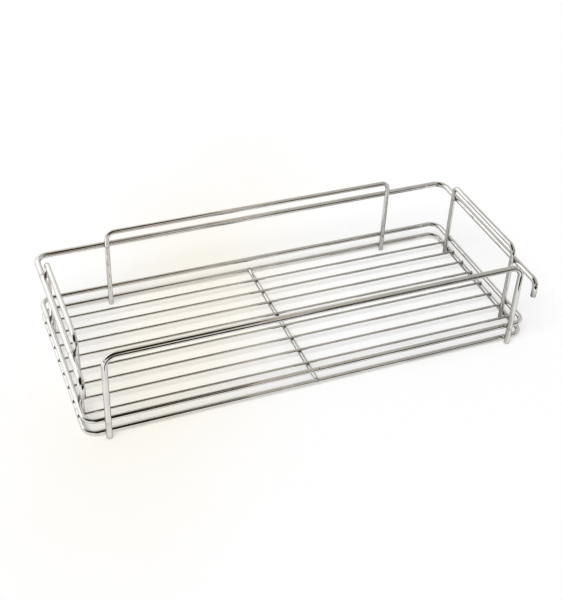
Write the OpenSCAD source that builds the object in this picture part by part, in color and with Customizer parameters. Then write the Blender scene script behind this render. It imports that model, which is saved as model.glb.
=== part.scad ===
// Pull-out cabinet basket of welded round wire, for a base unit in a kitchen.
//
// +X runs along the basket, +Y to its back and +Z up. The origin is under the middle of
// the whole basket, and the ends of the eight hoop legs stand on Z = 0.
//
// Each wire is one bent piece. It is written the way a wire bender is set: how far to
// feed, how far to roll the wire, how far to bend it, and how wide the bend is.
// Where two wires are welded they have sunk a little into each other. The rims and the
// rail stay whole. The hoops, the cross bar and the floor wires carry the saddles, each cut
// with the very wire that lies in it, so that two wires meet face to face.

/* [Rims] */
// Outside length of the two rims
basket_l = 480; // [420:1:600]
// Outside width of the two rims
basket_w = 205; // [180:1:280]
// Diameter of the rim wire
rim_d = 5; // [4:0.1:6]
// Radius of the rim corners, to the middle of the wire
rim_bend = 12; // [9:0.5:15]
// Open height between the lower and the upper rim
rim_gap = 10; // [7:0.5:20]
// How far the upset ring of a rim's butt weld stands out of the wire
butt_ridge = 0.3; // [0.1:0.05:0.6]
// Length of that ring along the wire
butt_l = 1.5; // [1:0.1:3]

/* [Floor] */
// Number of floor wires
floor_count = 8; // [6:1:9]
// Diameter of the floor wires
floor_d = 2.8; // [2:0.1:3.5]
// From the middle of a long rim wire to the middle of the first floor wire
floor_edge = 25; // [18:0.5:30]
// How far the floor wires run past the middle of the end rim wires
floor_over = 1; // [0:0.1:2]
// Diameter of the cross bar under the floor wires
bar_d = 4; // [3:0.1:4.8]
// Place of the cross bar along the basket, a little beside the butt welds
bar_x = -1.5; // [-30:0.5:30]

/* [Hoops] */
// Diameter of the back hoop and the two side hoops
hoop_d = 5; // [4:0.1:6]
// Top of the back hoop and the two side hoops above the leg ends
hoop_top = 95; // [90:0.5:130]
// Radius of their bends, to the middle of the wire
hoop_bend = 8; // [6:0.5:11]
// From the middle of an end rim wire to the middle of the back hoop's leg
back_inset = 74; // [30:1:120]
// Floor gap in which the legs of the side hoops stand, counted from the rim
side_gap = 1; // [1:1:2]
// Diameter of the front hoop
front_hoop_d = 6; // [4:0.1:7]
// Top of the front hoop above the leg ends
front_top = 103; // [60:0.5:140]
// Radius of its bends, to the middle of the wire
front_bend = 12; // [8:0.5:20]
// From the middle of an end rim wire to the middle of the front hoop's leg
front_inset = 21; // [19:0.5:80]
// How far the legs reach below the lower rim
foot = 2.5; // [1:0.1:10]

/* [Rail] */
// Diameter of the rail along the left side, the back and the right side
rail_d = 6; // [4:0.1:7]
// Top of the rail above the leg ends
rail_top = 78.5; // [60:0.5:80]
// Radius of the two rail corners, to the middle of the wire
rail_bend = 12; // [9:0.5:20]
// From the middle of the front rim wire to the middle of the hooks
hook_reach = 5; // [0:0.5:15]
// From the middle of the rail down to the tips of its hooks
hook_drop = 18.5; // [14:0.5:25]
// Radius of the hook bends, to the middle of the wire
hook_bend = 7; // [5:0.5:9]

/* [Wire ends and welds] */
// Bevel on the cut end of a hoop leg or a hook
tip_bevel = 0.6; // [0.2:0.1:1]
// Bevel on the cut end of a floor wire
floor_bevel = 0.3; // [0.1:0.1:0.6]
// How far two welded wires have sunk into each other
weld_sink = 0.4; // [0.1:0.05:0.8]

/* [Hidden] */
$fn = 48;
steel = "silver";

// Distance between the middles of two wires that are welded across each other
function welded(d1, d2) = (d1 + d2) / 2 - weld_sink;

// Middle of the rim wires, from the middle of the rims
rim_x = (basket_l - rim_d) / 2;
rim_y = (basket_w - rim_d) / 2;
lower_z = foot + rim_d / 2;
upper_z = lower_z + rim_d + rim_gap;

// The hoop legs at the back and the sides stand inside the rims, and the front ones outside
leg_in = welded(rim_d, hoop_d);
leg_out = welded(rim_d, front_hoop_d);

// The rail runs round the outside of the inner legs
rail_out = welded(hoop_d, rail_d) - leg_in;
rail_x = rim_x + rail_out;
rail_z = rail_top - rail_d / 2;

// The rims lie a little behind the origin, because the front hoop and the hooks reach
// further out in front than the rail does at the back
front_reach = max(leg_out + front_hoop_d / 2, hook_reach + rail_d / 2);
back_reach = max(rail_out + rail_d / 2, rim_d / 2);
mid_y = (front_reach - back_reach) / 2;

// Floor wires lie on the lower rim, and the cross bar lies under them, between the rims
floor_z = lower_z + welded(rim_d, floor_d);
bar_z = floor_z - welded(floor_d, bar_d);
floor_pitch = 2 * (rim_y - floor_edge) / (floor_count - 1);
function floor_y(i) = floor_edge - rim_y + (i - 1) * floor_pitch;

// Legs of the side hoops stand midway between two floor wires
side_leg_y = -floor_y(side_gap) - floor_pitch / 2;

// ---- Wire ----

// One straight stretch along +Z, with a bevel on the ends that are cut
module stretch(d, l, start_bevel, end_bevel) {
    if (start_bevel > 0)
        cylinder(h = start_bevel, d1 = d - 2 * start_bevel, d2 = d);
    translate([0, 0, start_bevel])
        cylinder(h = l - start_bevel - end_bevel, d = d);
    if (end_bevel > 0)
        translate([0, 0, l - end_bevel])
            cylinder(h = end_bevel, d1 = d, d2 = d - 2 * end_bevel);
}

// One bend that leaves +Z and turns towards +X
module elbow(d, r, angle) {
    translate([r, 0, 0])
        rotate([90, 0, 0])
            rotate([0, 0, 180 - angle])
                rotate_extrude(angle = angle)
                    translate([r, 0])
                        circle(d = d);
}

// A wire off the bender: each step is [feed, roll, bend, bend radius], and the last
// step only feeds. The wire starts at the origin and leaves along +Z.
module bent_wire(d, steps, bevel = 0, i = 0) {
    feed = steps[i][0];
    last = i == len(steps) - 1;
    stretch(d, feed, i == 0 ? bevel : 0, last ? bevel : 0);
    if (!last) {
        angle = steps[i][2];
        r = steps[i][3];
        translate([0, 0, feed])
            rotate([0, 0, steps[i][1]]) {
                elbow(d, r, angle);
                translate([r, 0, 0])
                    rotate([0, angle, 0])
                        translate([-r, 0, 0])
                            bent_wire(d, steps, bevel, i + 1);
            }
    }
}

// ---- Wires in their places, before the welds ----

// Closed rim, butt welded in the middle of its front side
module rim_wire(z) {
    long_run = 2 * (rim_x - rim_bend);
    short_run = 2 * (rim_y - rim_bend);
    translate([0, mid_y - rim_y, z])
        rotate([90, 0, 90]) {
            bent_wire(rim_d, [
                [long_run / 2, 0, 90, rim_bend],
                [short_run, 0, 90, rim_bend],
                [long_run, 0, 90, rim_bend],
                [short_run, 0, 90, rim_bend],
                [long_run / 2]
            ]);
            butt_ring();
        }
}

// Upset ring that the butt weld has pushed out round the wire
module butt_ring() {
    rim_r = rim_d / 2;
    rotate_extrude()
        polygon([
            [0, -butt_l / 2],
            [rim_r, -butt_l / 2],
            [rim_r + butt_ridge, -butt_l / 6],
            [rim_r + butt_ridge, butt_l / 6],
            [rim_r, butt_l / 2],
            [0, butt_l / 2]
        ]);
}

// Upside-down U that stands on the origin and runs towards +X
module hoop_wire(d, top, span, r) {
    leg = top - d / 2 - r;
    bent_wire(d, [
        [leg, 0, 90, r],
        [span - 2 * r, 0, 90, r],
        [leg]
    ], tip_bevel);
}

// Three-sided rail, with a hook bent down at each of its front ends
module rail_wire() {
    hook_y = rim_y + hook_reach;
    side_run = hook_y + rim_y + rail_out - hook_bend - rail_bend;
    back_run = 2 * (rail_x - rail_bend);
    hook_run = hook_drop - hook_bend;
    translate([-rail_x, mid_y - hook_y, rail_z - hook_drop])
        rotate([0, 0, 90])
            bent_wire(rail_d, [
                [hook_run, 0, 90, hook_bend],
                [side_run, -90, 90, rail_bend],
                [back_run, 0, 90, rail_bend],
                [side_run, 90, 90, hook_bend],
                [hook_run]
            ], tip_bevel);
}

// Straight bar between the long sides of the lower rim
module bar_wire() {
    translate([bar_x, mid_y - rim_y, bar_z])
        rotate([-90, 0, 0])
            stretch(bar_d, 2 * rim_y, 0, 0);
}

// What the legs of the back hoop and the side hoops are welded to
module rims_and_rail() {
    rim_wire(lower_z);
    rim_wire(upper_z);
    rail_wire();
}

// ---- Sub-parts ----

module lower_rim() {
    color(steel) rim_wire(lower_z);
}

module upper_rim() {
    color(steel) rim_wire(upper_z);
}

module top_rail() {
    color(steel) rail_wire();
}

// The front hoop leans on the rims from outside, with a saddle at each of them
module front_hoop() {
    leg_x = rim_x - front_inset;
    color(steel)
        difference() {
            translate([-leg_x, mid_y - rim_y - leg_out, 0])
                hoop_wire(front_hoop_d, front_top, 2 * leg_x, front_bend);
            rim_wire(lower_z);
            rim_wire(upper_z);
        }
}

module back_hoop() {
    leg_x = rim_x - back_inset;
    color(steel)
        difference() {
            translate([-leg_x, mid_y + rim_y - leg_in, 0])
                hoop_wire(hoop_d, hoop_top, 2 * leg_x, hoop_bend);
            rims_and_rail();
        }
}

// Side hoop: side is -1 on the left and 1 on the right
module side_hoop(side) {
    color(steel)
        difference() {
            translate([side * (rim_x - leg_in), mid_y - side_leg_y, 0])
                rotate([0, 0, 90])
                    hoop_wire(hoop_d, hoop_top, 2 * side_leg_y, hoop_bend);
            rims_and_rail();
        }
}

module left_hoop() {
    side_hoop(-1);
}

module right_hoop() {
    side_hoop(1);
}

// The bar's ends are coped to fit round the rim wire
module cross_bar() {
    color(steel)
        difference() {
            bar_wire();
            rim_wire(lower_z);
        }
}

// Floor wire, counted from the front, with a saddle for each rim end and for the bar
module floor_wire(i) {
    l = 2 * (rim_x + floor_over);
    color(steel)
        difference() {
            translate([-l / 2, mid_y + floor_y(i), floor_z])
                rotate([0, 90, 0])
                    stretch(floor_d, l, floor_bevel, floor_bevel);
            rim_wire(lower_z);
            bar_wire();
        }
}

lower_rim();
upper_rim();
top_rail();
front_hoop();
back_hoop();
left_hoop();
right_hoop();
cross_bar();
for (i = [1:floor_count])
    floor_wire(i);
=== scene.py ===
"""Looks of a pull-out cabinet basket of chromed, welded round wire.

Each wire of the CAD frame is built again as one smooth swept tube that follows the same line:
straight runs, round bends, oval where the bender squeezed it, and dressed cut ends. Wherever two
wires touch, the weld gets its squeezed-out flash, and the chrome round it turns dull and brown,
darkened further by painted shade for the crevice between the wires.
"""

import math

import bpy
import numpy as np
from mathutils import Matrix, Vector


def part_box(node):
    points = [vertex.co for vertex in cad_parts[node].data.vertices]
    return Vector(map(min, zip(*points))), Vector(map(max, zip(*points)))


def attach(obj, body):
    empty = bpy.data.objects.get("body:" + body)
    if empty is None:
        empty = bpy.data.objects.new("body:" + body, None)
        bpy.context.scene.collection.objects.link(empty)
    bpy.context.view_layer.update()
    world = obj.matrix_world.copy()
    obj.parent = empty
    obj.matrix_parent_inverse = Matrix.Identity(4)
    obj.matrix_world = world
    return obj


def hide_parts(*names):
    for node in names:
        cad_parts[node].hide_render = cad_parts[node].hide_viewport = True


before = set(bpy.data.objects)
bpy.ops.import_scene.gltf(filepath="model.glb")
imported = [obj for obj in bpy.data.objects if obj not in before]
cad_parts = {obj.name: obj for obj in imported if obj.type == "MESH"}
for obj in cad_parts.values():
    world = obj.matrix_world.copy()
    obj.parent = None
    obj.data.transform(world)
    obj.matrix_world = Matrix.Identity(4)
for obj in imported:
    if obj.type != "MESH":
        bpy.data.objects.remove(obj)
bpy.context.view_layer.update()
MM = 0.001

# ---- The wires: diameter and bend radius in metres, as the CAD has them ----

RIM_D, RIM_BEND = 5.0 * MM, 12.0 * MM
RAIL_D, RAIL_BEND, HOOK_BEND = 6.0 * MM, 12.0 * MM, 7.0 * MM
HOOP_D, HOOP_BEND = 5.0 * MM, 8.0 * MM
FRONT_D, FRONT_BEND = 6.0 * MM, 12.0 * MM
FLOOR_D, BAR_D = 2.8 * MM, 4.0 * MM
TIP_BEVEL, FLOOR_BEVEL = 0.6 * MM, 0.3 * MM
OVALITY = 0.025

# The upset ring of a rim's butt weld: height, length, and how full its crest is (1 is a cosine)
BUTT_RIDGE, BUTT_L = 0.3 * MM, 1.5 * MM
BUTT_CREST = 0.8

# ---- Mesh density ----

SIDES = 36
FLOOR_SIDES = 24
ARC_STEPS = 14
RUN_STEP = 9.0 * MM
NEAR_WELD = 5.0 * MM
WELD_STEP = 0.7 * MM
LEAST_STEP = 0.05 * MM
BUTT_MARKS = 21
TIP_RINGS = 5

# ---- Welds ----

# How high the flash fills the wedge between two wires, and how much that differs between welds
WELD_FILL = 0.75 * MM
FILL_RANGE = (0.85, 1.15)
FLASH_SEED = 7

# How much wider the flash is at its edges, how lumpy it is and in how many lumps, how deep its
# edges dip into the wires, and where it closes inside, as a share of its width
FLASH_FLARE = 0.55
FLASH_LUMP, LUMP_WAVES = 0.10, (2, 3, 5)
FLASH_DIP = 0.12 * MM
FLASH_CORE = 0.5
FLASH_ROWS, FLASH_SIDES = 7, 36

# The bead round the end of a bar
BEAD_R, BEAD_SIDES = 0.42 * MM, 12

# A wire of a smaller radius than this has fewer sides and lower flash
SLIM_R = 2.0 * MM

# The search for the flash's edge: how far out it looks, in radii, and how often it halves
SEARCH_REACH, SEARCH_STEPS = 1.5, 24

# How far the burnt ring, which also paints the shade round a weld, reaches, in radii, how dark the
# flash is from burning and painted shade, and how far a cut end is worn
BURN_AND_SHADE_REACH = 1.15
FLASH_BURN_AND_SHADE = 0.8
TIP_WEAR = 1.5 * MM

# ---- Tolerances: a weld lies on a wire's line (in radii), a point at x = 0, parallel wires ----

ON_LINE = 0.5
AT_MIDDLE = 1e-6
PARALLEL = 1e-18

# ---- Chrome: scales per metre, ranges of the noises, bumps as (strength, height) ----

EDGE_TINT = (0.35, 0.33, 0.30, 1.0)

# Drawing lines and ripple. The shift sets them apart between the slots, in shares of the seed
DRAWN_SCALE, DRAWN_DETAIL = (40.0, 2600.0, 2600.0), 3.0
DRAWN_BUMP = (0.25, 0.00002)
DRAWN_SHIFT = (1.0, 0.7, 1.3)
RIPPLE_SCALE, RIPPLE_DETAIL = (90.0, 260.0, 260.0), 2.0
RIPPLE_BUMP = (0.35, 0.00012)
RIPPLE_SHIFT = (3.1, 0.0, 1.0)

# Cloudy marks, which also set the haze, and pits
CLOUD_SCALE, CLOUD_DETAIL = 55.0, 4.0
CLOUD_RANGE = (0.42, 0.75)
CLOUD_GREY = 0.86
HAZE_RANGE = (0.3, 0.8)
HAZE_SPREAD = 0.07
PIT_SCALE = 420.0
PIT_RANGE = (0.05, 0.11)
PIT_TONE = (0.30, 0.28, 0.26, 1.0)

# Burnt rings at the welds, darkened further as painted shade in the crevices where wires meet, and
# worn cut ends
BURN_AND_SHADE_BREAK = 0.9
BURN_AND_SHADE_RANGE = (0.30, 0.95)
BURN_AND_SHADE_TONE = (0.09, 0.075, 0.06, 1.0)
BURN_ROUGH = 0.30
TIP_BURN = 0.55

# The plate of each material slot, as (tint, haze), and the step between their seeds
SLOT_LOOKS = {
    "rim_wire": ((0.735, 0.724, 0.706), 0.03),
    "rail_wire": ((0.755, 0.744, 0.726), 0.025),
    "hoop_wire": ((0.745, 0.734, 0.716), 0.025),
    "floor_wire": ((0.715, 0.704, 0.682), 0.05),
}
SEED_STEP = 1.7

# ---- Paper: a cream patch of painted warm shade under the basket, with a blotchy edge, in metres and degrees ----

WHITE = (1.0, 1.0, 1.0, 1.0)
SHADE_CREAM_TONE = (0.985, 0.948, 0.860, 1.0)
SHADE_PATCH_AT = (-0.10, 0.04, 0.0)
SHADE_PATCH_HALF = (0.42, 0.155, 1.0)
SHADE_PATCH_TURN = 60
SHADE_PATCH_EDGE = (0.35, 1.45)
BLOTCH_SCALE, BLOTCH_DETAIL = 5.0, 2.0
BLOTCH_SHARE = 0.7
FLOOR_WHITE = 0.80
FLOOR_LIFT = 0.38
FLOOR_HALF = 40.0

# ---- Light ----

KEY_LIGHT = 1.45
KEY_ANGLE = 38
TOWARDS_KEY = (-0.50, -0.40, 1.0)
SKY_LIGHT = 0.385

# ---- The photograph's camera, in the frame's metres and degrees ----

CAMERA_AT = (-0.36135, -0.83806, 0.73487)
CAMERA_AZIMUTH, CAMERA_ELEVATION, CAMERA_ROLL = -23.122, 37.464, 2.741
FOCAL_PX = 1088.6
FRAME_LONG_PX = 600
SENSOR = 36.0
CLIP = (0.01, 100)


# ================= Lines of the wires =================


def unit(v):
    """The vector's direction, one long."""
    return v / np.linalg.norm(v)


def rounded(corners, bends):
    """The line of a bent wire through these corners, with one bend radius for each corner between
    its ends, as (start, end, centre) stretches. centre is None on a straight stretch."""
    pts = [np.array(p, float) for p in corners]
    runs = []
    last = pts[0]
    for before, here, after, r in zip(pts, pts[1:], pts[2:], bends):
        to_before, to_after = unit(before - here), unit(after - here)
        half = math.acos(float(np.clip(to_before @ to_after, -1, 1))) / 2
        reach = r / math.tan(half)
        centre = here + unit(to_before + to_after) * (r / math.sin(half))
        start, end = here + to_before * reach, here + to_after * reach
        runs.append((last, start, None))
        runs.append((start, end, centre))
        last = end
    runs.append((last, pts[-1], None))
    return runs


class Wire:
    """One wire: its line, its diameter and what the welds on it need to know."""

    def __init__(self, node, slot, diameter, runs, closed=False, bevel=0.0, butt=False):
        self.node = node
        self.slot = slot
        self.r = diameter / 2
        self.runs = runs
        self.closed = closed
        self.bevel = bevel
        self.butt = butt
        self.welds = []

    def straights(self):
        return [(a, b) for a, b, centre in self.runs if centre is None]


def middle_of(node):
    """Middle of a CAD node's box."""
    low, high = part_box(node)
    return (np.array(low) + np.array(high)) / 2


def rim(node):
    """Closed loop that starts at the butt weld in the middle of its front side."""
    low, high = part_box(node)
    x = high.x - RIM_D / 2
    back = high.y - RIM_D / 2
    front = low.y + RIM_D / 2 + BUTT_RIDGE
    z = (low.z + high.z) / 2
    corners = [
        (0, front, z),
        (x, front, z),
        (x, back, z),
        (-x, back, z),
        (-x, front, z),
        (0, front, z),
    ]
    runs = rounded(corners, [RIM_BEND] * 4)
    return Wire(node, "rim_wire", RIM_D, runs, closed=True, butt=True)


def hoop(node, slot, diameter, bend):
    """Upside-down U along its longer side."""
    low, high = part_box(node)
    mid = middle_of(node)
    r = diameter / 2
    top = high.z - r
    if high.x - low.x > high.y - low.y:
        feet = [(low.x + r, mid[1]), (high.x - r, mid[1])]
    else:
        feet = [(mid[0], low.y + r), (mid[0], high.y - r)]
    (x0, y0), (x1, y1) = feet
    corners = [(x0, y0, low.z), (x0, y0, top), (x1, y1, top), (x1, y1, low.z)]
    return Wire(node, slot, diameter, rounded(corners, [bend] * 2), bevel=TIP_BEVEL)


def rail(node):
    """Rail round three sides, with a hook bent down at each front end."""
    low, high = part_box(node)
    r = RAIL_D / 2
    x, front, back, top = high.x - r, low.y + r, high.y - r, high.z - r
    corners = [
        (-x, front, low.z),
        (-x, front, top),
        (-x, back, top),
        (x, back, top),
        (x, front, top),
        (x, front, low.z),
    ]
    runs = rounded(corners, [HOOK_BEND, RAIL_BEND, RAIL_BEND, HOOK_BEND])
    return Wire(node, "rail_wire", RAIL_D, runs, bevel=TIP_BEVEL)


def straight(node, diameter, bevel=0.0):
    """Straight wire along the longest side of its node's box."""
    low, high = (np.array(c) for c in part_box(node))
    mid = (low + high) / 2
    mid[2] = high[2] - diameter / 2
    axis = int(np.argmax(high - low))
    start, end = mid.copy(), mid.copy()
    start[axis], end[axis] = low[axis], high[axis]
    return Wire(node, "floor_wire", diameter, [(start, end, None)], bevel=bevel)


def all_wires():
    """Every wire of the basket, in the order in which it is laid on the others."""
    wires = [
        rim("lower_rim"),
        rim("upper_rim"),
        rail("top_rail"),
        hoop("front_hoop", "rail_wire", FRONT_D, FRONT_BEND),
        hoop("back_hoop", "hoop_wire", HOOP_D, HOOP_BEND),
        hoop("left_hoop", "hoop_wire", HOOP_D, HOOP_BEND),
        hoop("right_hoop", "hoop_wire", HOOP_D, HOOP_BEND),
        straight("cross_bar", BAR_D),
    ]
    floor_nodes = sorted(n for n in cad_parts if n.startswith("floor_wire_"))
    wires += [straight(n, FLOOR_D, FLOOR_BEVEL) for n in floor_nodes]
    return wires


# ================= Welds =================


def closest(a, b, c, d):
    """Closest points of the segments a-b and c-d."""
    u, v, w = b - a, d - c, a - c
    uu, uv, vv, uw, vw = u @ u, u @ v, v @ v, u @ w, v @ w
    det = uu * vv - uv * uv
    s = 0.5 if det < PARALLEL else float(np.clip((uv * vw - vv * uw) / det, 0, 1))
    t = float(np.clip((uv * s + vw) / vv, 0, 1))
    s = float(np.clip((uv * t - uw) / uu, 0, 1))
    return a + u * s, c + v * t


def find_welds(wires):
    """Every place where straight stretches of two wires touch, as
    (wire, other, point on wire, point on other, direction of wire, direction of other)."""
    found = []
    for i, one in enumerate(wires):
        for two in wires[i + 1 :]:
            for a, b in one.straights():
                for c, d in two.straights():
                    p, q = closest(a, b, c, d)
                    if np.linalg.norm(p - q) < one.r + two.r:
                        found.append((one, two, p, q, unit(b - a), unit(d - c)))
                        one.welds.append(p)
                        two.welds.append(q)
    for wire in wires:
        if wire.butt:
            wire.welds.append(wire.runs[0][0])
    return found


# ================= Swept tubes =================


def bend_stations(a, b, centre, length):
    """Points down one bend, without its two ends, and how long the bend is."""
    arm_a, arm_b = a - centre, b - centre
    r = np.linalg.norm(arm_a)
    sweep = math.acos(float(np.clip(arm_a @ arm_b / r**2, -1, 1)))
    side = unit(arm_b - arm_a * (arm_a @ arm_b) / r**2)
    first = unit(arm_a)
    out = []
    for k in range(1, ARC_STEPS):
        t = sweep * k / ARC_STEPS
        out_dir = first * math.cos(t) + side * math.sin(t)
        tangent = side * math.cos(t) - first * math.sin(t)
        squeeze = math.sin(math.pi * k / ARC_STEPS)
        out.append((centre + out_dir * r, tangent, -out_dir * squeeze, length + r * t))
    return out, r * sweep


def straight_stations(wire, a, b, length):
    """Points down one straight stretch, close together near a weld, and how long it is."""
    run = np.linalg.norm(b - a)
    along = (b - a) / run
    marks = list(np.linspace(0, run, max(2, int(run / RUN_STEP) + 1)))
    for w in wire.welds:
        at = (w - a) @ along
        if np.linalg.norm(w - a - along * at) < wire.r * ON_LINE:
            marks += list(np.arange(at - NEAR_WELD, at + NEAR_WELD, WELD_STEP))
    if wire.butt:
        for end in (a, b):
            if abs(end[0]) < AT_MIDDLE:
                at = (end - a) @ along
                marks += list(np.linspace(at - BUTT_L, at + BUTT_L, BUTT_MARKS))
    kept = []
    for m in sorted(m for m in marks if 0 <= m <= run):
        if not kept or m - kept[-1] > LEAST_STEP:
            kept.append(m)
    if run - kept[-1] < LEAST_STEP:
        kept[-1] = run
    return [(a + along * m, along, None, length + m) for m in kept], run


def stations(wire):
    """Points down the wire's line, as (point, tangent, the bend's inward direction or None, the
    length so far), and the whole length."""
    out = []
    length = 0.0
    for a, b, centre in wire.runs:
        if centre is None:
            points, run = straight_stations(wire, a, b, length)
        else:
            points, run = bend_stations(a, b, centre, length)
        out += points
        length += run
    return out, length


def cut_end(bevel, r):
    """Rounded edge of a cut end, as (distance from the end, radius) from the end inwards."""
    turns = np.linspace(0, math.pi / 2, TIP_RINGS)
    return [(bevel * (1 - math.sin(t)), r - bevel + bevel * math.cos(t)) for t in turns[:0:-1]]


def rings_of(wire):
    """All rings of the tube, as (middle, tangent, squeeze, length so far, radius), and the
    wire's length."""
    line, length = stations(wire)
    if wire.closed:
        line = line[:-1]
    rings = []
    for point, tangent, squeeze, at in line:
        r = wire.r
        if wire.butt:
            off = min(1.0, min(at, length - at) / (BUTT_L / 2))
            r += BUTT_RIDGE * (0.5 + 0.5 * math.cos(math.pi * off)) ** BUTT_CREST
        rings.append((point, tangent, squeeze, at, r))
    if wire.bevel:
        b = wire.bevel
        (start, into, *_), (end, out, *_) = rings[0], rings[-1]
        profile = cut_end(b, wire.r)
        head = [(start + into * d, into, None, d, r) for d, r in profile]
        tail = [(end - out * d, out, None, length - d, r) for d, r in profile[::-1]]
        rings = head + [ring for ring in rings if b < ring[3] < length - b] + tail
    return rings, length


def tube_faces(rows, sides, closed):
    """Quads between rows of points that go round a tube."""
    faces = []
    for i in range(rows if closed else rows - 1):
        j = (i + 1) % rows
        for k in range(sides):
            n = (k + 1) % sides
            faces.append((i * sides + k, i * sides + n, j * sides + n, j * sides + k))
    return faces


def sweep_wire(wire, sides):
    """The mesh of one wire, with what its material reads: rod, the place in the straightened wire,
    weld, how near the next weld is, and tip, how near the cut end is."""
    rings, length = rings_of(wire)
    welds = np.array(wire.welds)
    turns = np.arange(sides) * 2 * math.pi / sides
    cosines, sines = np.cos(turns)[:, None], np.sin(turns)[:, None]

    # Start from any direction across the wire, and carry it along so that the tube isn't twisted
    first = rings[0][1]
    normal = np.cross(first, [0, 0, 1.0] if abs(first[2]) < 0.5 else [1.0, 0, 0])
    verts, rods, near, tips = [], [], [], []
    for point, tangent, squeeze, at, r in rings:
        normal = unit(normal - tangent * (normal @ tangent))
        arms = (normal * cosines + np.cross(tangent, normal) * sines) * r
        if squeeze is not None:
            arms -= np.outer(arms @ squeeze, squeeze) * OVALITY
        around = point + arms
        gaps = np.linalg.norm(around[:, None] - welds[None], axis=2).min(axis=1)
        verts += list(around)
        rods += [(at, r * c, r * s) for c, s in zip(cosines[:, 0], sines[:, 0])]
        near += list(np.exp(-((gaps / (BURN_AND_SHADE_REACH * wire.r)) ** 2)))
        tips += [0.0 if wire.closed else math.exp(-min(at, length - at) / TIP_WEAR)] * sides
    count = len(rings)
    faces = tube_faces(count, sides, wire.closed)

    # A fan of faces closes each cut end
    if not wire.closed:
        for row, centre, at in ((0, rings[0][0], 0.0), (count - 1, rings[-1][0], length)):
            verts.append(centre)
            rods.append((at, 0.0, 0.0))
            near.append(0.0)
            tips.append(1.0)
            for k in range(sides):
                edge = (row * sides + k, row * sides + (k + 1) % sides)
                faces.append((*(edge if row else edge[::-1]), len(verts) - 1))
    return verts, faces, {"rod": rods, "weld": near, "tip": tips}


# ================= Weld flash =================


def crossing_flash(one, two, p, q, along_one, along_two, rng):
    """Fillet squeezed out between two wires that cross. It is a closed ring that fills the wedge
    round their contact, up to the place where the wedge is WELD_FILL high."""
    up = unit(q - p)
    u = unit(along_one - up * (along_one @ up))
    v = np.cross(up, u)
    apart = np.linalg.norm(q - p)
    fill = WELD_FILL * min(1.0, min(one.r, two.r) / SLIM_R) * rng.uniform(*FILL_RANGE)
    lumps = [(n, rng.uniform(-1, 1), rng.uniform(0, 2 * math.pi)) for n in LUMP_WAVES]

    def wedge(rho, turn):
        """Heights of the two wires' surfaces at this place beside the contact."""
        a, b = rho * math.cos(turn), rho * math.sin(turn)
        low = math.sqrt(max(one.r**2 - b**2, 0))
        high = apart - math.sqrt(max(two.r**2 - a**2, 0))
        return low, high

    def reach(turn, height):
        """How far out the wedge is this high."""
        lo, hi = 0.0, SEARCH_REACH * max(one.r, two.r)
        for _ in range(SEARCH_STEPS):
            mid = (lo + hi) / 2
            low, high = wedge(mid, turn)
            lo, hi = (mid, hi) if high - low < height else (lo, mid)
        return lo

    verts = []
    for i in range(FLASH_ROWS):
        t = i / (FLASH_ROWS - 1)
        flare = 1 + FLASH_FLARE * (2 * t - 1) ** 2
        for k in range(FLASH_SIDES):
            turn = 2 * math.pi * k / FLASH_SIDES
            lump = 1 + sum(FLASH_LUMP / n * s * math.cos(n * turn + c) for n, s, c in lumps)
            rho = reach(turn, fill * flare * lump)
            low, high = wedge(rho, turn)
            z = low - FLASH_DIP + (high - low + 2 * FLASH_DIP) * t
            a, b = rho * math.cos(turn), rho * math.sin(turn)
            verts.append(p + u * a + v * b + up * z)
    for k in range(FLASH_SIDES):
        turn = 2 * math.pi * k / FLASH_SIDES
        rho = FLASH_CORE * reach(turn, fill)
        verts.append(p + u * rho * math.cos(turn) + v * rho * math.sin(turn) + up * apart / 2)
    return verts, tube_faces(FLASH_ROWS + 1, FLASH_SIDES, True)


def bead_round_end(bar, rim_wire, p, q, along_bar, along_rim):
    """Bead round a bar that ends against the side of another wire: a thin ring that follows the
    line where the two surfaces meet."""
    side = np.cross(along_bar, along_rim)
    shift = (q - p) @ side
    inwards = along_bar * np.sign((middle_of(bar.node) - q) @ along_bar)
    end = p + (q - p) @ along_bar * along_bar
    verts = []
    for k in range(FLASH_SIDES):
        turn = 2 * math.pi * k / FLASH_SIDES
        a, b = bar.r * math.cos(turn), bar.r * math.sin(turn)
        depth = math.sqrt(max(rim_wire.r**2 - (b - shift) ** 2, 0))
        middle = end + along_rim * a + side * b + inwards * depth
        out_bar = along_rim * math.cos(turn) + side * math.sin(turn)
        out_rim = unit(inwards * depth + side * (b - shift))
        outward, across = unit(out_bar + out_rim), unit(out_bar - out_rim)
        for j in range(BEAD_SIDES):
            spin = 2 * math.pi * j / BEAD_SIDES
            verts.append(middle + (outward * math.cos(spin) + across * math.sin(spin)) * BEAD_R)
    return verts, tube_faces(FLASH_SIDES, BEAD_SIDES, True)


def weld_meshes(found):
    """Flash of all welds, gathered by the wire that was laid on last, as (wire, points, faces)."""
    rng = np.random.default_rng(FLASH_SEED)
    groups = {}
    for one, two, p, q, along_one, along_two in found:
        if np.linalg.norm(p - q) < max(one.r, two.r):
            verts, faces = bead_round_end(two, one, q, p, along_two, along_one)
        else:
            verts, faces = crossing_flash(one, two, p, q, along_one, along_two, rng)
        _, all_verts, all_faces = groups.setdefault(two.node, (two, [], []))
        base = len(all_verts)
        all_verts.extend(verts)
        all_faces.extend(tuple(base + i for i in face) for face in faces)
    return groups.values()


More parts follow.
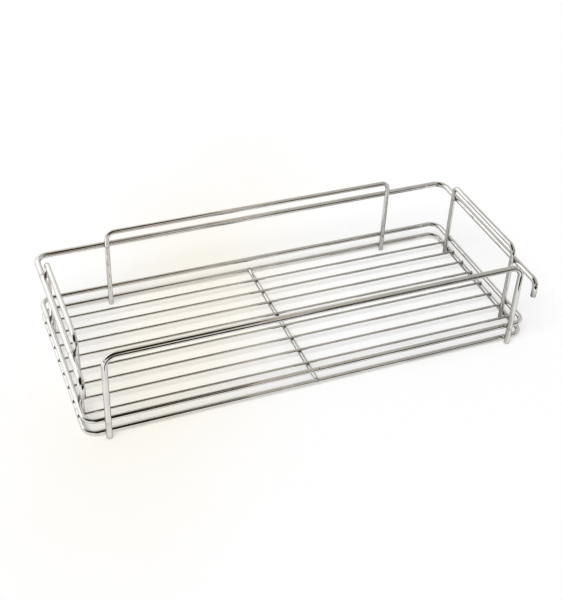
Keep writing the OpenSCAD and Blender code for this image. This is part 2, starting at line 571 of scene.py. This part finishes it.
def make_object(name, verts, faces, data, material, replaced=()):
    """One piece on the part's only body, with the values at its points that its material reads."""
    mesh = bpy.data.meshes.new(name)
    mesh.from_pydata([tuple(v) for v in verts], [], faces)
    mesh.update()
    mesh.validate()
    for key, values in data.items():
        kind = "FLOAT_VECTOR" if isinstance(values[0], tuple) else "FLOAT"
        layer = mesh.attributes.new(key, kind, "POINT")
        flat = np.array(values, np.float32).ravel()
        layer.data.foreach_set("vector" if kind == "FLOAT_VECTOR" else "value", flat)
    mesh.shade_smooth()
    piece = bpy.data.objects.new(name, mesh)
    bpy.context.scene.collection.objects.link(piece)
    mesh.materials.append(material)
    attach(piece, "root")
    if replaced:
        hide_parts(*replaced)


# ================= Materials =================


class Nodes:
    """Short hand for building the node tree of a material or a world. A source is the output of
    another node or a plain value."""

    def __init__(self, block):
        block.use_nodes = True
        self.tree = block.node_tree
        self.tree.nodes.clear()

    def add(self, kind, **settings):
        node = self.tree.nodes.new(kind)
        for key, value in settings.items():
            setattr(node, key, value)
        return node

    def feed(self, node, socket, source):
        if isinstance(source, bpy.types.NodeSocket):
            self.tree.links.new(source, node.inputs[socket])
        else:
            node.inputs[socket].default_value = source

    def attribute(self, name, output):
        return self.add("ShaderNodeAttribute", attribute_name=name).outputs[output]

    def place(self):
        return self.add("ShaderNodeTexCoord").outputs["Object"]

    def mapped(self, vector, location, scale, turn=0.0, kind="POINT"):
        node = self.add("ShaderNodeMapping", vector_type=kind)
        self.feed(node, "Vector", vector)
        self.feed(node, "Location", location)
        self.feed(node, "Rotation", (0.0, 0.0, math.radians(turn)))
        self.feed(node, "Scale", scale)
        return node.outputs[0]

    def noise(self, vector, scale, detail):
        node = self.add("ShaderNodeTexNoise")
        self.feed(node, "Vector", vector)
        self.feed(node, "Scale", scale)
        self.feed(node, "Detail", detail)
        return node.outputs["Fac"]

    def cells(self, vector, scale):
        node = self.add("ShaderNodeTexVoronoi")
        self.feed(node, "Vector", vector)
        self.feed(node, "Scale", scale)
        return node.outputs["Distance"]

    def calc(self, operation, *sources, clamp=False):
        node = self.add("ShaderNodeMath", operation=operation, use_clamp=clamp)
        for i, source in enumerate(sources):
            self.feed(node, i, source)
        return node.outputs[0]

    def ramp(self, source, low, high, start=0.0, end=1.0, kind="LINEAR"):
        """Goes from start to end while the source goes from low to high."""
        node = self.add("ShaderNodeMapRange", interpolation_type=kind)
        self.feed(node, "Value", source)
        self.feed(node, "From Min", low)
        self.feed(node, "From Max", high)
        self.feed(node, "To Min", start)
        self.feed(node, "To Max", end)
        return node.outputs[0]

    def mix(self, factor, first, second, blend="MIX"):
        """Mix of two colours. A colour Mix node has them on sockets 6 and 7, and gives 2."""
        node = self.add("ShaderNodeMix", data_type="RGBA", blend_type=blend)
        self.feed(node, 0, factor)
        self.feed(node, 6, first)
        self.feed(node, 7, second)
        return node.outputs[2]

    def bump(self, height, strength, distance, over=None):
        node = self.add("ShaderNodeBump")
        self.feed(node, "Height", height)
        self.feed(node, "Strength", strength)
        self.feed(node, "Distance", distance)
        if over is not None:
            self.feed(node, "Normal", over)
        return node.outputs[0]

    def seen(self):
        """1 for what the camera, gloss and glass see, and 0 for light that falls on things."""
        path = self.add("ShaderNodeLightPath")
        seen = self.calc("ADD", path.outputs["Is Camera Ray"], path.outputs["Is Glossy Ray"])
        return self.calc("ADD", seen, path.outputs["Is Transmission Ray"], clamp=True)


def chrome(name, tint, haze, seed):
    """Bright chrome over drawn wire: drawing lines along the wire, a little ripple in the plate,
    small pits, cloudy handling marks, and a dull dark brown ring where a weld has burnt it, which
    also paints the shade in the crevice round the weld. The seed moves the lines and the ripple,
    so that no two slots have the same."""
    material = bpy.data.materials.new(name)
    t = Nodes(material)
    out = t.add("ShaderNodeOutputMaterial")
    shader = t.add("ShaderNodeBsdfPrincipled")
    t.feed(shader, "Metallic", 1.0)
    t.feed(shader, "Specular Tint", EDGE_TINT)
    t.feed(out, 0, shader.outputs[0])

    rod = t.attribute("rod", "Vector")
    weld = t.attribute("weld", "Fac")
    tip = t.attribute("tip", "Fac")
    place = t.place()

    drawn_at = t.mapped(rod, [seed * c for c in DRAWN_SHIFT], DRAWN_SCALE)
    drawn = t.noise(drawn_at, 1.0, DRAWN_DETAIL)
    ripple_at = t.mapped(rod, [seed * c for c in RIPPLE_SHIFT], RIPPLE_SCALE)
    ripple = t.noise(ripple_at, 1.0, RIPPLE_DETAIL)
    cloud = t.noise(place, CLOUD_SCALE, CLOUD_DETAIL)
    pit = t.ramp(t.cells(place, PIT_SCALE), *PIT_RANGE, 1.0, 0.0)

    # Burnt ring, which also paints the shade in the crevice round the weld: the weld attribute,
    # broken up by the cloud noise. A cut end is worn as well
    broken = t.calc("MULTIPLY_ADD", cloud, BURN_AND_SHADE_BREAK, -BURN_AND_SHADE_BREAK / 2)
    burn_and_shade = t.ramp(t.calc("ADD", weld, broken), *BURN_AND_SHADE_RANGE, kind="SMOOTHSTEP")
    wear_burn_and_shade = t.calc("MAXIMUM", burn_and_shade, t.calc("MULTIPLY", tip, TIP_BURN))

    # Colour: bright plate, greyer in the cloudy marks and pits, dark brown where it is burnt and
    # where the crevice round a weld is painted as shade
    grey = [c * CLOUD_GREY for c in tint]
    cloudy = t.mix(t.ramp(cloud, *CLOUD_RANGE), (*tint, 1.0), (*grey, 1.0))
    spotted = t.mix(pit, cloudy, PIT_TONE)
    t.feed(shader, "Base Color", t.mix(wear_burn_and_shade, spotted, BURN_AND_SHADE_TONE))

    # Gloss: hazier in the cloudy marks, and dull where it is burnt
    rough = t.ramp(cloud, *HAZE_RANGE, haze, haze + HAZE_SPREAD)
    t.feed(shader, "Roughness", t.calc("MULTIPLY_ADD", wear_burn_and_shade, BURN_ROUGH, rough))

    # Relief: the drawing lines, with the plate's ripple over them
    fine = t.bump(drawn, *DRAWN_BUMP)
    t.feed(shader, "Normal", t.bump(ripple, *RIPPLE_BUMP, over=fine))
    return material


def paper():
    """Seamless pale ground: clean white, with one slantwise patch of faint cream under the basket,
    which is painted warm shade. The part that only the camera, gloss and glass see lifts it to
    white and keeps the shadows."""
    material = bpy.data.materials.new("paper")
    t = Nodes(material)
    out = t.add("ShaderNodeOutputMaterial")
    both = t.add("ShaderNodeAddShader")
    ground = t.add("ShaderNodeBsdfDiffuse")
    glow = t.add("ShaderNodeEmission")
    t.feed(both, 0, ground.outputs[0])
    t.feed(both, 1, glow.outputs[0])
    t.feed(out, 0, both.outputs[0])

    # How far a point lies from the middle of the patch, in half lengths, and a blotchy edge
    place = t.place()
    spread = t.add("ShaderNodeVectorMath", operation="LENGTH")
    t.feed(spread, 0, t.mapped(place, SHADE_PATCH_AT, SHADE_PATCH_HALF, SHADE_PATCH_TURN, "TEXTURE"))
    blotch = t.noise(place, BLOTCH_SCALE, BLOTCH_DETAIL)
    edge = t.calc("MULTIPLY_ADD", blotch, BLOTCH_SHARE, spread.outputs["Value"])
    # The patch is painted warm shade under the basket, blotchy at its edge
    painted_shade = t.ramp(edge, *SHADE_PATCH_EDGE, 1.0, 0.0, "SMOOTHSTEP")
    tone = t.mix(painted_shade, WHITE, SHADE_CREAM_TONE)

    white = (FLOOR_WHITE, FLOOR_WHITE, FLOOR_WHITE, 1.0)
    t.feed(ground, "Color", t.mix(1.0, tone, white, "MULTIPLY"))
    t.feed(glow, "Color", tone)
    t.feed(glow, "Strength", t.calc("MULTIPLY", t.seen(), FLOOR_LIFT))
    return material


def card_material(name, colour):
    """A studio card that shows one even tone in the chrome."""
    material = bpy.data.materials.new(name)
    t = Nodes(material)
    out = t.add("ShaderNodeOutputMaterial")
    glow = t.add("ShaderNodeEmission")
    t.feed(glow, "Color", (*colour, 1.0))
    t.feed(out, 0, glow.outputs[0])
    return material


# ================= Studio =================


def flat(x0, x1, y0, y1, z):
    """Corners of a level card."""
    return [(x0, y0, z), (x1, y0, z), (x1, y1, z), (x0, y1, z)]


def wall(start, end, z0, z1):
    """Corners of an upright card over the line from start to end."""
    return [(*start, z0), (*end, z0), (*end, z1), (*start, z1)]


# Heights of the ceiling, of the flag and of the cards that lie on the floor
CEILING_Z = 2.6
FLAG_Z = 1.0
ON_FLOOR, OVER_FLOOR = 0.0005, 0.0006

# Where the low flags, the front band, the soft boxes and the side bands stand, and how high the
# lower and the upper row of boxes reach
LOW_Y = -0.205
FRONT_Y = -3.0
BOX_Y, BOX_Z, BOX_TOP = 2.2, 2.15, 4.5
BAND_X = 3.5

CEILING_GREY = (0.54, 0.53, 0.51)
LOW_DARK = (0.020, 0.014, 0.008)
BAND_GREY = (0.20, 0.19, 0.18)

# What the chrome shows, as (name, corners, tone), in metres. A tone of 1 is white
CARDS = [
    # The ceiling: warm over the middle, which gives the wires of the left half a brownish cast
    ("left_ceiling", flat(-6, -0.1, -5, 1.6, CEILING_Z), CEILING_GREY),
    ("front_ceiling", flat(-6, 1.0, -9, -5, CEILING_Z), (0.44, 0.41, 0.36)),
    ("ceiling", flat(-0.1, 0.8, -5, 1.6, CEILING_Z), (0.605, 0.53, 0.41)),
    ("middle_ceiling", flat(0.8, 1.3, -5, 1.6, CEILING_Z), (0.57, 0.53, 0.47)),
    ("right_ceiling", flat(1.3, 6, -5, 1.6, CEILING_Z), CEILING_GREY),
    # A flag over the left half: the black lines on the upper side of its wires
    (
        "black_flag",
        [
            (-4.0, -1.9, FLAG_Z),
            (-0.02, -1.9, FLAG_Z),
            (0.22, -0.55, FLAG_Z),
            (0.22, 0.25, FLAG_Z),
            (0.08, 0.25, FLAG_Z),
            (-0.02, 0.10, FLAG_Z),
            (-4.0, 0.10, FLAG_Z),
        ],
        (0.022, 0.014, 0.005),
    ),
    # Low flags in front: the thin dark lines on the lower side of the front wires
    ("front_flag", wall((-0.25, LOW_Y), (-0.04, LOW_Y), 0.0, 0.10), (0.014, 0.010, 0.006)),
    ("low_flag", wall((-0.04, LOW_Y), (0.35, LOW_Y), 0.0, 0.05), LOW_DARK),
    ("floor_flag", flat(-0.5, 0.6, FRONT_Y, -0.34, ON_FLOOR), LOW_DARK),
    ("front_band", wall((-1.5, FRONT_Y), (1.1, FRONT_Y), 0.0, 0.72), LOW_DARK),
    ("right_front_band", wall((1.1, FRONT_Y), (6.0, FRONT_Y), 0.0, 1.90), LOW_DARK),
    # Bright floor beside the left end, which bleaches the outside of its wires
    ("left_floor", flat(-4.0, -0.243, -0.06, 3.0, ON_FLOOR), (1.52, 1.54, 1.56)),
    ("left_front_floor", flat(-4.0, -0.243, -1.2, -0.06, ON_FLOOR), (1.10, 1.11, 1.12)),
    # Painted shade: dark sheets on the floor, seen only in the chrome, that stand for the shade
    # under the right end, its rims and the cross bar, and give their wires dark edges
    ("right_shade", flat(0.10, 0.212, -0.15, 0.16, OVER_FLOOR), (0.62, 0.61, 0.59)),
    ("rim_shade", flat(0.212, 0.2345, -0.092, 0.092, OVER_FLOOR), (0.30, 0.295, 0.285)),
    ("bar_shade", flat(-0.014, 0.011, -0.085, 0.092, OVER_FLOOR), (0.26, 0.255, 0.245)),
    # Soft boxes behind: over white for the left end's wires, and greyer for the right end's
    ("left_box", wall((-5.0, BOX_Y), (0.05, BOX_Y), 0.25, BOX_Z), (1.44, 1.46, 1.47)),
    ("left_top", wall((-5.0, BOX_Y), (-0.70, BOX_Y), BOX_Z, BOX_TOP), (1.34, 1.36, 1.37)),
    ("top_box", wall((-0.70, BOX_Y), (5.0, BOX_Y), BOX_Z, BOX_TOP), (0.64, 0.63, 0.60)),
    ("right_mid", wall((0.05, BOX_Y), (1.2, BOX_Y), 1.2, BOX_Z), (1.05, 1.04, 1.02)),
    ("right_far", wall((1.2, BOX_Y), (5.0, BOX_Y), 1.2, BOX_Z), (0.66, 0.65, 0.62)),
    ("right_box", wall((0.05, BOX_Y), (5.0, BOX_Y), 0.25, 1.2), (1.08, 1.08, 1.06)),
    # Low grey bands to both sides
    ("left_band", wall((-BAND_X, FRONT_Y), (-BAND_X, BOX_Y), 0.0, 0.42), BAND_GREY),
    ("right_band", wall((BAND_X, FRONT_Y), (BAND_X, BOX_Y), 0.0, 0.42), BAND_GREY),
]


def plane(name, corners, material):
    """One flat piece of the stage."""
    mesh = bpy.data.meshes.new(name)
    mesh.from_pydata(corners, [], [tuple(range(len(corners)))])
    mesh.materials.append(material)
    card = bpy.data.objects.new(name, mesh)
    bpy.context.scene.collection.objects.link(card)
    return card


def gloss_card(name, corners, colour):
    """A card beside the set: it shows in the chrome, and nowhere else."""
    piece = plane(name, corners, card_material(name + "_tone", colour))
    piece.visible_camera = False
    piece.visible_diffuse = False
    piece.visible_shadow = False


def sky():
    """Even light from all round, which the camera, gloss and glass see as plain white."""
    world = bpy.data.worlds.new("studio")
    bpy.context.scene.world = world
    t = Nodes(world)
    out = t.add("ShaderNodeOutputWorld")
    back = t.add("ShaderNodeBackground")
    t.feed(back, "Color", WHITE)
    t.feed(back, "Strength", t.ramp(t.seen(), 0.0, 1.0, SKY_LIGHT, 1.0))
    t.feed(out, 0, back.outputs[0])


def studio():
    """Sky, floor, one broad lamp high at the front left, and the cards that the chrome shows."""
    sky()
    plane("floor", flat(-FLOOR_HALF, FLOOR_HALF, -FLOOR_HALF, FLOOR_HALF, 0), paper())

    lamp = bpy.data.lights.new("key", "SUN")
    lamp.energy = KEY_LIGHT
    lamp.angle = math.radians(KEY_ANGLE)
    key = bpy.data.objects.new("key", lamp)
    bpy.context.scene.collection.objects.link(key)
    key.rotation_euler = Vector(TOWARDS_KEY).to_track_quat("Z", "Y").to_euler()
    key.visible_glossy = False

    for name, corners, tone in CARDS:
        gloss_card(name, corners, tone)


def camera():
    """The photograph's camera, from its place, its angles and its focal length."""
    azimuth, elevation, roll = (
        math.radians(a) for a in (CAMERA_AZIMUTH, CAMERA_ELEVATION, CAMERA_ROLL)
    )
    back = Vector(
        (
            math.sin(azimuth) * math.cos(elevation),
            -math.cos(azimuth) * math.cos(elevation),
            math.sin(elevation),
        )
    )
    right = (-back).cross(Vector((0, 0, 1))).normalized()
    up = back.cross(right)
    x_axis = right * math.cos(roll) + up * math.sin(roll)
    y_axis = up * math.cos(roll) - right * math.sin(roll)
    data = bpy.data.cameras.new("camera")
    data.sensor_width = SENSOR
    data.lens = SENSOR * FOCAL_PX / FRAME_LONG_PX
    data.clip_start, data.clip_end = CLIP
    eye = bpy.data.objects.new("camera", data)
    bpy.context.scene.collection.objects.link(eye)
    turn = Matrix((x_axis, y_axis, back)).transposed().to_4x4()
    eye.matrix_world = Matrix.Translation(CAMERA_AT) @ turn
    bpy.context.scene.camera = eye


# ================= The basket =================


def basket():
    """All wires, each in place of its CAD node, and the flash of their welds."""
    wires = all_wires()
    found = find_welds(wires)
    looks = {}
    for i, (slot, (tint, haze)) in enumerate(SLOT_LOOKS.items()):
        looks[slot] = chrome(slot + "_chrome", tint, haze, SEED_STEP * (i + 1))
    for wire in wires:
        sides = FLOOR_SIDES if wire.r < SLIM_R else SIDES
        verts, faces, data = sweep_wire(wire, sides)
        look = looks[wire.slot]
        make_object(wire.node + "_wire", verts, faces, data, look, (wire.node,))
    for wire, verts, faces in weld_meshes(found):
        # The flash gets the dark burnt tone, which is partly painted shade in the weld's crevice
        data = {
            "rod": [tuple(v) for v in verts],
            "weld": [FLASH_BURN_AND_SHADE] * len(verts),
            "tip": [0.0] * len(verts),
        }
        make_object(wire.node + "_welds", verts, faces, data, looks[wire.slot])


studio()
camera()
basket()
bpy.context.scene.view_settings.view_transform = "Standard"
